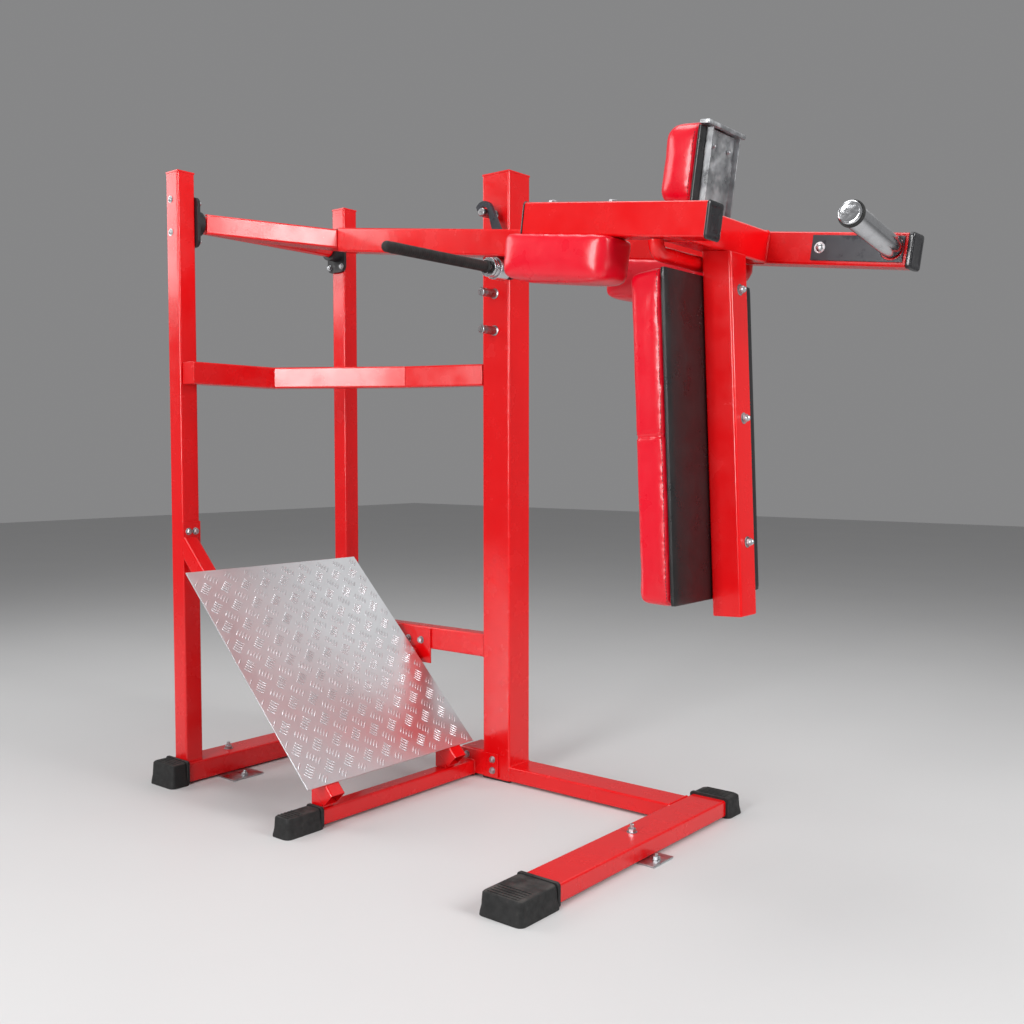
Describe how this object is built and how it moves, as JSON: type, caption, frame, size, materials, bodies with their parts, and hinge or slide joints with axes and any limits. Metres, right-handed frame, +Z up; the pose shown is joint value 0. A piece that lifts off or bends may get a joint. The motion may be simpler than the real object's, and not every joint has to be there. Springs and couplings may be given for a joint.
{
  "type": "leg press machine",
  "caption": "Standing lever squat and leg press machine with a tread foot plate, a hinged lever arm carrying pads and a weight horn, and a lock handle.",
  "frame": {"origin": "on the floor, under the middle of the machine's bounding box", "axes": "+X towards the front, where the weight horn is; +Y towards the rack post's side; +Z up"},
  "size_m": [2.0949, 0.99, 1.842],
  "materials": {
    "red_powder_coat": "gloss red powder coat",
    "red_vinyl": "glossy red vinyl with stitched seams",
    "boot_rubber": "moulded black rubber, matt",
    "black_plastic": "moulded black plastic tube cap",
    "tread_aluminium": "bright five-bar tread plate",
    "chrome_steel": "polished chrome plate",
    "galvanised_steel": "zinc-plated steel",
    "black_cast_iron": "black painted bearing housing",
    "black_steel": "black painted steel plate",
    "black_board": "plywood backing board covered in black vinyl"
  },
  "bodies": {
    "frame": {"base_rail": "red_powder_coat", "bearing_far": "black_cast_iron", "bearing_near": "black_cast_iron", "foot_plate": "tread_aluminium", "front_anchor_tab": "galvanised_steel", "front_boot_far": "boot_rubber", "front_boot_near": "boot_rubber", "front_crossbar": "red_powder_coat", "lower_rail": "red_powder_coat", "mid_rail_diagonal": "red_powder_coat", "mid_rail_front": "red_powder_coat", "mid_rail_rear": "red_powder_coat", "plate_crossbar": "red_powder_coat", "plate_crossbar_boot": "boot_rubber", "plate_crossbar_flange": "red_powder_coat", "plate_runner_far": "red_powder_coat", "plate_runner_near": "red_powder_coat", "rack_peg_1": "chrome_steel", "rack_peg_2": "chrome_steel", "rack_peg_3": "chrome_steel", "rack_peg_4": "chrome_steel", "rear_anchor_tab": "galvanised_steel", "rear_boot_far": "boot_rubber", "rear_boot_near": "boot_rubber", "rear_crossbar": "red_powder_coat", "runner_bracket": "red_powder_coat", "runner_saddle_far": "red_powder_coat", "runner_saddle_near": "red_powder_coat", "runner_tie": "red_powder_coat", "side_post": "red_powder_coat", "side_post_cap": "red_powder_coat", "side_post_foot": "boot_rubber", "side_post_stub": "red_powder_coat", "upright_far": "red_powder_coat", "upright_far_cap": "red_powder_coat", "upright_near": "red_powder_coat", "upright_near_cap": "red_powder_coat"},
    "lever_arm": {"main_beam": "red_powder_coat", "main_beam_cap": "black_plastic", "shoulder_beam": "red_powder_coat", "shoulder_beam_cap_rear": "black_plastic", "shoulder_beam_cap_front": "black_plastic", "cross_beam": "red_powder_coat", "shoulder_pad_near": "red_vinyl", "shoulder_pad_far": "red_vinyl", "head_rest": "red_vinyl", "head_rest_plate": "galvanised_steel", "horn_guard_plate": "black_steel", "back_post": "red_powder_coat", "back_board": "black_board", "back_pad": "red_vinyl", "handle_bearing": "chrome_steel", "torque_tube": "red_powder_coat", "rear_link": "red_powder_coat", "weight_horn": "chrome_steel", "brace": "red_powder_coat"},
    "lock_handle": {"handle_rod": "chrome_steel", "handle_grip": "boot_rubber", "hook_plate": "black_steel"}
  },
  "joints": [
    {"name": "lever_arm_hinge", "type": "hinge", "parent": "frame", "child": "lever_arm", "pos_m": [-0.98, 0, 1.697], "axis": [0, -1, 0], "range_deg": [0, 12]},
    {"name": "lock_handle_hinge", "type": "hinge", "parent": "lever_arm", "child": "lock_handle", "pos_m": [-0.157, 0, 1.533], "axis": [0, 1, 0], "range_deg": [0, 40]}
  ]
}
